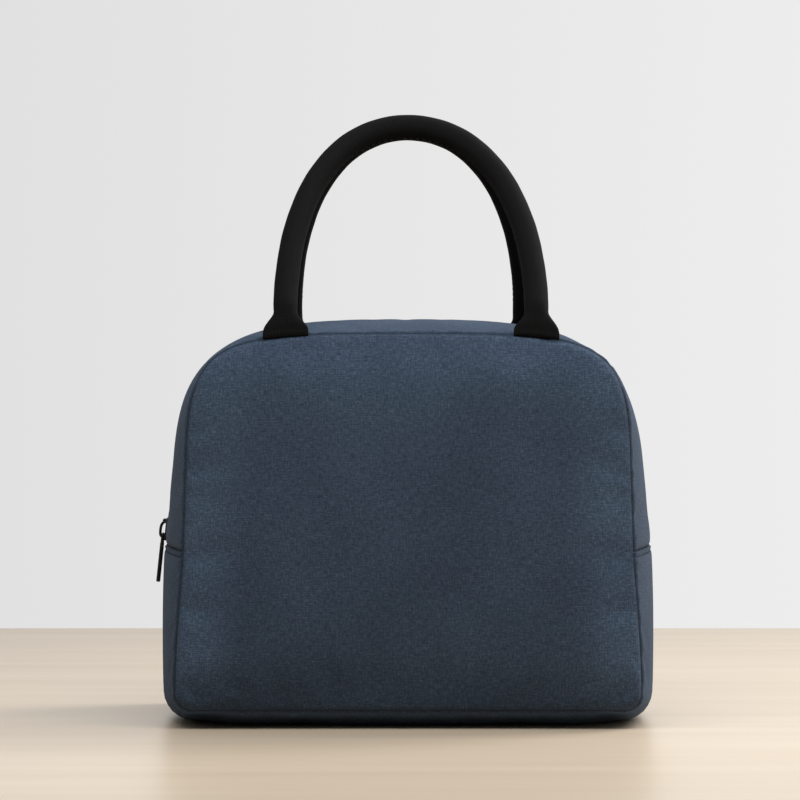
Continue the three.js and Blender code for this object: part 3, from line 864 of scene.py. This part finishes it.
def liner_strip(name, rows, columns, rise):
    """A strip of film under a gusset; rise says how far it comes up towards the outside at each row."""
    grid = shell[shell_parts["gusset"][np.ix_(rows, columns)]]
    row_at, column_at = halves(len(rows) - 1), halves(len(columns) - 1)
    grid = refined(grid, row_at, column_at)
    rise = np.interp(row_at, range(len(rows)), rise)
    run = run_at(columns, column_at)
    run = np.broadcast_to(run - run.mean(), grid.shape[:2]).ravel()
    y = grid[..., 1].ravel()
    lift = np.repeat(rise, len(column_at)) + crinkle(run, y)
    depths = [depth - lift for depth in LINER_DEPTH]
    liner = thin_layer(name, grid, depths, FOIL, weave_at(run, y))
    flat = (run_length(grid[:, 0])[-1] * MM, run_length(grid[len(grid) // 2])[-1] * MM)
    return liner, flat


def add_gusset_liners():
    rows = ALL_ROWS[LINER_SEAM_GAP:-LINER_SEAM_GAP]
    liner, flat = liner_strip("lower_gusset_film", rows, LOWER_COLUMNS, np.zeros(len(rows)))
    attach(liner, "lower_body")
    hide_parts("lower_gusset_liner")
    for side, sign in SIDES:
        rows = UPPER_ROWS[side]
        rows = rows[LINER_SEAM_GAP:] if sign == -1 else rows[:-LINER_SEAM_GAP]
        to_zip = np.arange(len(rows))[::sign]
        rise = LINER_HEM["rise"] * (1 - smooth(to_zip / LINER_HEM["rows"]))
        liner, flat = liner_strip(f"{side}_zip_gusset_film", rows, UPPER_COLUMNS, rise)
        bend_with(liner)
        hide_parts(f"{side}_zip_gusset_liner")


# Folded binding tape in section: depth below the outside, and distance from the seam.
BINDING_SECTION = [
    (6.5, 6.5), (6.5, 12.6), (6.9, 13.3), (7.7, 13.5), (8.6, 13.3), (9.0, 12.6), (9.0, 6.5),
    (8.5, 6.5), (8.5, 12.4), (8.2, 12.8), (7.7, 12.9), (7.3, 12.8), (7.0, 12.4), (7.0, 6.5),
]
BINDING_WOBBLE = {"height": 0.25, "phase": 1.7}


def add_binding(side, sign):
    grid = np.stack([section(sign * (HALF_DEPTH - inset), depth) for depth, inset in BINDING_SECTION])
    grid[..., 1] += BINDING_WOBBLE["height"] * ripple(SEAM_RUN[:-1], BINDING_WOBBLE["phase"] * sign)
    grid = doubled_ring(grid)
    numbers = numbered(grid)
    quads = grid_quads(np.concatenate([numbers, numbers[:1]]), closed=True)
    weave = weave_at(run_length(np.array(BINDING_SECTION))[:, None], DOUBLED_RUN)
    binding = make_piece(f"{side}_binding", grid.reshape(-1, 3), quads, TAPE, {"weave": weave})
    bend_with(binding)
    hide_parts(f"{side}_binding_lower", f"{side}_binding_upper")


# ---- Zip ----

TAPE_ROWS = [1.6, 3.5, 6.5, 10, 13.5]
TAPE_DEPTH = (1.35, 1.8)
TOOTH_PITCH = 1.5
TOOTH = {"depth": 0.45, "sides": 8}
# Sections of a tooth: distance from the middle of the zip, half width and half height.
TOOTH_SECTIONS = ((-0.45, 0.3795, 0.25), (-0.2, 0.69, 0.475), (0.35, 0.69, 0.5), (1.0, 0.3564, 0.36),
                  (2.6, 0.3564, 0.36), (3.0, 0.198, 0.2))


def above_folds(grid, skip=0):
    """The columns of a doubled grid that lie above the cross seams."""
    return grid[:, 2 * FOLD_COLUMN + skip:2 * (RING - FOLD_COLUMN) + 1 - skip]


def zip_line():
    """The middle line of the zip, from cross seam to cross seam, with its directions along and outwards."""
    line = above_folds(doubled_ring(section(0.0)[None]))[0]
    along = unit(np.gradient(line, axis=0))
    outward = np.stack([along[:, 2], along[:, 1], -along[:, 0]], axis=1)
    return line, along, outward


def along_line(line, at, *fields):
    """The line and its fields at some distances along it."""
    run = run_length(line)

    def picked(values):
        return np.stack([np.interp(at, run, values[:, k]) for k in range(3)], axis=1)

    return [picked(values) for values in (line, *fields)]


def around(count):
    """Angles of a section with that many sides."""
    return np.arange(count) / count * math.tau


def tube_rings(centre, aside, up, wide, tall, turns):
    """Elliptical rings round some centres, across two directions."""
    return (centre[:, None] + aside[:, None] * (wide * np.cos(turns))[None, :, None]
            + up[:, None] * (tall * np.sin(turns))[None, :, None])


def lofted(stacks):
    """Closed solids from stacks of rings, shaped (solid, ring, side, 3), as points and faces."""
    stacks = np.asarray(stacks, float)
    numbers = np.arange(stacks[..., 0].size).reshape(stacks.shape[:3])
    faces = []
    for solid in numbers:
        faces += grid_quads(solid, closed=True).tolist()
        faces += [solid[0][::-1].tolist(), solid[-1].tolist()]
    return stacks.reshape(-1, 3), faces


def add_tape(side, sign):
    rows = np.sort(np.array(TAPE_ROWS) * sign)
    grid = above_folds(doubled_ring(np.stack([section(y) for y in rows])))
    run = run_length(grid[0])
    weave = weave_at(rows[:, None], run)
    tape = thin_layer(f"{side}_zip_tape_strip", grid, TAPE_DEPTH, TAPE, weave)
    bend_with(tape)
    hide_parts(f"{side}_zip_tape")


def add_teeth(side, sign):
    line, along, outward = zip_line()
    start = TOOTH_PITCH * (0.5 if sign == 1 else 1.0)
    at = np.arange(start, run_length(line)[-1] - TOOTH_PITCH / 2, TOOTH_PITCH)
    line, along, outward = along_line(line, at, along, outward)
    stack = []
    for reach, wide, tall in TOOTH_SECTIONS:
        centre = line - outward * TOOTH["depth"] + (0, sign * reach, 0)
        stack.append(tube_rings(centre, along, outward, wide, tall, around(TOOTH["sides"])))
    points, faces = lofted(np.stack(stack, axis=1))
    teeth = make_piece(f"{side}_zip_teeth", points, faces, COIL)
    bend_with(teeth)
    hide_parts(f"{side}_zip_coil")


STITCH = {"length": 2.5, "gap": 0.9, "radius": 0.24, "sides": 6, "twist": 0.6}
# Sections of a stitch: share of its length, share of its radius, and height over the cloth.
STITCH_SECTIONS = ((0, 0.35, -0.25), (0.18, 0.9, 0), (0.5, 1, 0.08), (0.82, 0.9, 0), (1, 0.35, -0.25))
STITCH_LIFT = {"zip": -0.1, "cross_seam": 0.12, "handle": 0.08}


def add_stitches(name, line, outward, lift, finish):
    """A row of stitches along a line, as one piece."""
    length = run_length(line)[-1]
    step = STITCH["length"] + STITCH["gap"]
    starts = np.arange(STITCH["gap"], length - step, step)
    stack = []
    for share, size, height in STITCH_SECTIONS:
        at = starts + share * STITCH["length"]
        centre, up, ahead = along_line(line, at, outward, np.gradient(line, axis=0))
        aside = unit(np.cross(ahead, up))
        radius = STITCH["radius"] * size
        centre = centre + up * (lift + height)
        stack.append(tube_rings(centre, aside, up, radius, radius, around(STITCH["sides"])))
    points, faces = lofted(np.stack(stack, axis=1))
    run = np.linspace(0, STITCH["length"], len(STITCH_SECTIONS))
    run = np.tile(np.repeat(run, STITCH["sides"]), len(starts))
    turn = np.tile(np.arange(STITCH["sides"]) / STITCH["sides"], len(STITCH_SECTIONS) * len(starts))
    weave = weave_at(turn, run + turn * STITCH["twist"])
    return make_piece(name, points, faces, finish, {"weave": weave})


def add_zip_stitches(side, sign):
    """Topstitching that holds the folded fabric edge to the zip tape."""
    y = sign * (ZIP_OPENING + ZIP_HEM["stitch"])
    skip = 3  # columns without stitches next to a cross seam
    line = above_folds(doubled_ring(section(y)[None]), skip)[0]
    outward = zip_line()[2][skip:-skip]
    name = f"{side}_zip_topstitching"
    bend_with(add_stitches(name, line, outward, STITCH_LIFT["zip"], THREAD))


def add_cross_seam_stitches():
    """Topstitching under each cross seam, right across the gusset."""
    points, quads, _ = gusset_surface(ALL_ROWS, LOWER_COLUMNS, (-1, 1))
    columns = len(halves(len(LOWER_COLUMNS) - 1, FOLD_ROWS, FOLD_ROWS))
    normals = vertex_normals(points, quads).reshape(-1, columns, 3)
    points = points.reshape(normals.shape)
    stitch_column, skip = 4, 3  # the sunk column under the ridge, and rows without stitches at its ends
    for name, column in (("left", stitch_column), ("right", columns - 1 - stitch_column)):
        line, outward = points[skip:-skip, column], normals[skip:-skip, column]
        name = f"{name}_cross_seam_topstitching"
        stitches = add_stitches(name, line, outward, STITCH_LIFT["cross_seam"], THREAD)
        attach(stitches, "lower_body")


SLIDER_ABOVE_FOLD = 7.2
PULL_PIVOT = (2.6, -2.3)
# The slider's plates: half sizes, and shares of their width from one end to the other.
PLATE = {"half_width": 4.8, "half_length": 6.0, "steps": 15}
PLATE_PLACES = (-1, -0.85, 0.25, 0.9, 1)
PLATE_WIDTHS = (0.86, 1, 1, 2 / 3, 0.56)
PLATE_DEPTHS = ((0.5, 1.6), (-3.4, -2.4))
# Paths of its bars, as distances out from the zip and up along it.
BRIDGE_PATH = ((1.2, -3.9), (2.9, -4.25), (3.9, -3.4), (4.2, -1.5), (4.15, 0.6), (3.7, 2.4), (2.7, 3.5),
               (1.3, 3.7))
HOOK_PATH = ((1.2, 4.4), (2.3, 4.9), (2.9, 4.5), (2.8, 3.9))
LIP_ASIDE = 4.4
# The pull's tab: distances down the pull, and shares of its width there.
TAB_DROPS = (4.9, 5.2, 5.7, 6.9, 10.9, 16.9, 21.9, 23.9, 25.1, 25.7, 26.0)
TAB_WIDTHS = (0.2, 0.45, 0.72, 0.92, 1, 1, 1, 1, 0.92, 0.8, 0.55)
TAB_HALF_WIDTH = 2.7
ARM_ASIDE = 2.05


def on_zip(points):
    """Points from the slider's own frame: X out of the bag, Z up along the straight stretch of the zip."""
    fold, top = (np.array([-x, 0, z]) for x, z in (MIDDLE_OUTLINE["fold"], MIDDLE_OUTLINE["straight_top"]))
    along = unit(top - fold)
    outward = (-along[2], 0, along[0])
    return fold + along * SLIDER_ABOVE_FOLD + points @ np.array([outward, (0, -1, 0), along])


def squared(values, power):
    """Sines or cosines of a section that is a superellipse."""
    return np.sign(values) * np.abs(values) ** (2 / power)


def bar(path, half_depth, half_width, count=12, power=2.0, ends=0.55):
    """A solid bar along a path in X and Z; half_depth lies in the path's plane and half_width along Y."""
    path = np.asarray(path, float)
    along = unit(np.gradient(path, axis=0))
    aside = np.stack([along[:, 1], -along[:, 0]], axis=1)
    size = np.ones(len(path))
    size[[0, -1]] = ends
    depth = (half_depth * size)[:, None] * squared(np.cos(around(count)), power)
    width = (half_width * size)[:, None] * squared(np.sin(around(count)), power)
    x, z = (path[:, None, axis] + aside[:, None, axis] * depth for axis in (0, 1))
    return lofted(np.stack([x, width, z], axis=-1)[None])


def curve_through(points, count):
    """A smooth line of count points through a few chosen ones."""
    points = np.array(points, float)
    return between(points, np.linspace(0, len(points) - 1, count))


def joined(*solids):
    points, faces, count = [], [], 0
    for solid_points, solid_faces in solids:
        points.append(solid_points)
        faces += [[corner + count for corner in face] for face in solid_faces]
        count += len(solid_points)
    return np.concatenate(points), faces


def slider_plate(low, high):
    """A shield-shaped plate with rounded edges, between two distances out from the zip."""
    places = np.linspace(-1, 1, PLATE["steps"])
    width = PLATE["half_width"] * np.interp(places, PLATE_PLACES, PLATE_WIDTHS)
    path = np.stack([np.full(len(places), (low + high) / 2), places * PLATE["half_length"]], axis=1)
    return bar(path, (high - low) / 2, width, count=20, power=5, ends=0.8)


def on_both_sides(solid, aside):
    points, faces = solid
    return [(points + (0, sign * aside, 0), faces) for sign in (-1, 1)]


def add_slider():
    bridge = bar(curve_through(BRIDGE_PATH, 32), half_depth=0.75, half_width=1.15, ends=0.9)
    hook = bar(curve_through(HOOK_PATH, 10), half_depth=0.65, half_width=0.9, ends=0.6)
    post = bar([(-2.8, 3.0), (-1.0, 3.0), (1.0, 3.0)], half_depth=1.4, half_width=0.55)
    lip = bar([(0.1, z) for z in (-4.8, -4.5, -1, 1.4, 1.7)], half_depth=0.5, half_width=0.4, power=4)
    plates = [slider_plate(*depths) for depths in PLATE_DEPTHS]
    points, faces = joined(*plates, bridge, hook, post, *on_both_sides(lip, LIP_ASIDE))
    slider = make_piece("zip_slider_body", on_zip(points), faces, METAL)
    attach(slider, "slider")
    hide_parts("zip_slider")


def add_pull():
    """A long tab with an eye at its top, hanging from the middle of its bar."""
    width = TAB_HALF_WIDTH * np.array(TAB_WIDTHS)
    path = [(0, -drop) for drop in TAB_DROPS]
    tab = bar(path, half_depth=1.05, half_width=width, count=20, power=3.2, ends=0.7)
    arm = bar([(0, z) for z in np.linspace(-6.2, 0.1, 8)], half_depth=0.8, half_width=0.62, power=2.6)
    cross = bar([(0, z) for z in (-0.25, 0, 0.25)], half_depth=0.5, half_width=2.3, power=3)
    points, faces = joined(tab, *on_both_sides(arm, ARM_ASIDE), cross)
    points = on_zip(points + (PULL_PIVOT[0], 0, PULL_PIVOT[1]))
    pull = make_piece("zip_pull_tab", points, faces, METAL)
    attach(pull, "pull")
    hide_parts("zip_pull")


# ---- Handles ----

HANDLE = {"radius": 6.3, "half_span": 64.0, "foot_width": 12.4, "foot_thickness": 1.5, "foot_height": 14.0,
          "tuck": 4.5, "fullness": 0.6, "sides": 32, "spacing": 1.8}
HANDLE_PIVOT = (75.5, 203.5)
HANDLE_TOP = (6.6, 311.9)
# Distances up a leg between which its foot narrows to the tube, fills out to it, follows the drop of the
# seam, and folds over the seam.
FLARE = (-1.0, 9.8)
FILL = (-1.0, 14.8)
FOLLOW = (-4.0, 8.0)
FOOT_BEND = (-1.0, 3.0)
FOOT_TUCK = 2.6  # how far the end of a foot curls back into the seam
BULGES = ((0.05, 5.3), (0.03, 2.1))  # height and length of the unevenness of the padding
DENT = {"foot": 0.16, "tube": 0.09, "outer_width": 0.22, "inner_width": 0.16, "through": 0.3}  # at its edges
SEWN_ASIDE = {"front": 1.4, "rear": 0.0}  # how far to the right the feet of each handle are sewn
UNSTITCHED = 6.0  # length of the arch above a foot that has no stitches


def handle_axes(sign):
    """A handle's hinge, the direction up from it, and the height of the handle along that."""
    pivot, top = (np.array([0, sign * y, z]) for y, z in (HANDLE_PIVOT, HANDLE_TOP))
    return pivot, unit(top - pivot), np.linalg.norm(top - pivot)


def handle_line(rise):
    """The tube's middle line from the right foot to the left, as X and distance up the handle."""
    span, foot, fullness = (HANDLE[key] for key in ("half_span", "foot_height", "fullness"))
    leg = foot + (rise - foot) * fullness
    corners = np.array([(span, foot), (span, leg), (span * fullness, rise), (0, rise)])
    arch = bezier(*corners, np.linspace(0, 1, 200))
    right = np.concatenate([[(span, -HANDLE["tuck"]), (span, 0)], arch])
    line = np.concatenate([right, right[-2::-1] * (-1, 1)])
    run = run_length(line)
    at = np.linspace(0, run[-1], int(run[-1] / HANDLE["spacing"]))
    return np.stack([np.interp(at, run, line[:, k]) for k in range(2)], axis=1), at


def seam_drop(x):
    """How far the top seam lies below its height at the middle of a foot, at distances across the bag."""
    across, height = outline_points(SEAM_OUTLINE, np.linspace(TOP - 1, TOP, 60))[::-1].T
    return np.interp(HANDLE["half_span"], across, height) - np.interp(np.abs(x), across, height)


def share_between(at, limits):
    """0 at the first limit, rising smoothly to 1 at the second."""
    return smooth((at - limits[0]) / (limits[1] - limits[0]))


def handle_rings(side, sign):
    pivot, up, rise = handle_axes(sign)
    line, run = handle_line(rise)
    along = unit(np.gradient(line, axis=0))
    from_foot = np.minimum(run, run[-1] - run) - HANDLE["tuck"]
    flare = 1 - share_between(from_foot, FLARE)
    flat = 1 - share_between(from_foot, FILL)
    wide = HANDLE["radius"] + (HANDLE["foot_width"] - HANDLE["radius"]) * flare
    deep = HANDLE["radius"] + (HANDLE["foot_thickness"] - HANDLE["radius"]) * flat
    turns = around(HANDLE["sides"])
    inner_edge = hump(turns - math.pi, DENT["inner_width"])
    edges = inner_edge + hump(np.minimum(turns, math.tau - turns), DENT["outer_width"])
    flat = flat[:, None]
    dent = 1 - DENT["foot"] * flat * edges - DENT["tube"] * (1 - flat) * inner_edge
    bulge = sum(height * np.sin(run[:, None] / length + phase)
                for (height, length), phase in zip(BULGES, (2 * np.cos(turns), 3 * turns)))
    aside = np.stack([along[:, 1], -along[:, 0]], axis=1)
    across = (wide[:, None] + bulge) * np.cos(turns) * dent
    through = (deep[:, None] + bulge * (1 - flat)) * np.sin(turns) * (1 - DENT["through"] * (1 - dent))
    lean = SEWN_ASIDE[side] * (1 - np.clip(line[:, 1] / rise, 0, 1) ** 2)
    x = (line[:, 0] + lean)[:, None] + aside[:, None, 0] * across
    height = line[:, None, 1] + aside[:, None, 1] * across
    height = height - seam_drop(x) * (1 - share_between(from_foot, FOLLOW)[:, None])
    axes = np.array([(1, 0, 0), up, np.cross((1, 0, 0), up)])
    rings = pivot + np.stack([x, height, through], axis=-1) @ axes
    curl = 1 - share_between(from_foot, (-HANDLE["tuck"], FOOT_BEND[1]))
    rings[..., 1] -= sign * FOOT_TUCK * curl[:, None]
    weave = weave_at(turns * HANDLE["radius"], run[:, None])
    return rings, weave


def add_handle(side, sign):
    rings, weave = handle_rings(side, sign)
    points, faces = lofted(rings[None])
    handle = make_piece(f"{side}_handle", points, faces, WEBBING, {"weave": weave})
    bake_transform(handle)
    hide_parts(*(f"{side}_handle_{part}" for part in ("sleeve", "core", "tab_left", "tab_right")))


def add_handle_stitches(side, sign):
    """The sewn edge of the webbing, along the inside of the arch."""
    rings, _ = handle_rings(side, sign)
    beside_inner = HANDLE["sides"] // 2 + 2
    skip = int((HANDLE["tuck"] + HANDLE["foot_height"] + UNSTITCHED) / HANDLE["spacing"])
    line = rings[skip:-skip, beside_inner]
    outward = unit(line - rings[skip:-skip].mean(axis=1))
    name = f"{side}_handle_stitching"
    stitches = add_stitches(name, line, outward, STITCH_LIFT["handle"], WEBBING)
    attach(stitches, f"{side}_handle")


for side_name, side_sign in SIDES:
    add_panel(side_name, side_sign)
    add_zip_gusset(side_name)
    add_panel_liner(side_name, side_sign)
    add_binding(side_name, side_sign)
    add_tape(side_name, side_sign)
    add_teeth(side_name, side_sign)
    add_zip_stitches(side_name, side_sign)
    add_handle(side_name, side_sign)
    add_handle_stitches(side_name, side_sign)
add_lower_gusset()
add_cross_seam_stitches()
add_gusset_liners()
add_slider()
add_pull()


# ---- Stage and light ----

FLOOR = {"x": (-3.0, 3.0), "y": (-3.5, 0.689), "z": -0.0002}
STUDIO = {"X": (0.4, 1.2), "Y": (0.1, 1.0)}  # its brightness from one end of an axis to the other
# Place, target, size and power.
LIGHTS = {
    "overhead": ((0.0, -0.30, 0.62), (0, 0, 0.15), (0.9, 0.3), 3.6),
    "right_rim": ((0.8, 0.35, 0.9), (0, 0, 0.12), (0.5, 0.9), 10),
}


def pale_wood():
    """A pale table top with long faint grain."""
    material, tree, shader = start_material("pale_wood", (0.68, 0.56, 0.42), 0.34, Specular_IOR_Level=0.6)
    place = add_node(tree, "ShaderNodeTexCoord").outputs["Object"]
    grain = noise(tree, place, (1.6, 26, 1), detail=6, roughness=0.6)
    stops = [(0.3, (0.64, 0.52, 0.385)), (0.7, (0.72, 0.60, 0.46))]
    tree.links.new(ramp(tree, grain, stops), shader.inputs["Base Color"])
    return material


def add_floor():
    """A table top whose back edge is a little way behind the bag."""
    (x0, x1), (y0, y1), z = FLOOR["x"], FLOOR["y"], FLOOR["z"]
    mesh = bpy.data.meshes.new("table_top")
    mesh.from_pydata([(x0, y0, z), (x1, y0, z), (x1, y1, z), (x0, y1, z)], [], [(0, 1, 2, 3)])
    mesh.materials.append(pale_wood())
    floor = new_object("table_top", mesh)


def add_light(name, place, target, size, power):
    data = bpy.data.lights.new(name, "AREA")
    data.shape = "RECTANGLE"
    data.size, data.size_y = size
    data.energy = power
    light = new_object(name, data)
    light.location = place
    light.rotation_euler = (Vector(target) - Vector(place)).to_track_quat("-Z", "Y").to_euler()


def add_world():
    world = bpy.data.worlds.new("studio")
    world.use_nodes = True
    tree = world.node_tree
    direction = add_node(tree, "ShaderNodeTexCoord").outputs["Generated"]
    axes = add_node(tree, "ShaderNodeSeparateXYZ", {"Vector": direction}).outputs
    ramps = (
        add_node(tree, "ShaderNodeMapRange", {0: axes[axis], 1: -1.0, 2: 1.0, 3: low, 4: high}).outputs[0]
        for axis, (low, high) in STUDIO.items())
    background = tree.nodes["Background"]
    background.inputs["Color"].default_value = (1, 1, 1, 1)
    tree.links.new(times(tree, *ramps), background.inputs["Strength"])
    bpy.context.scene.world = world


add_floor()
add_world()
for light_name, light_settings in LIGHTS.items():
    add_light(light_name, *light_settings)
bpy.context.scene.view_settings.view_transform = "Standard"
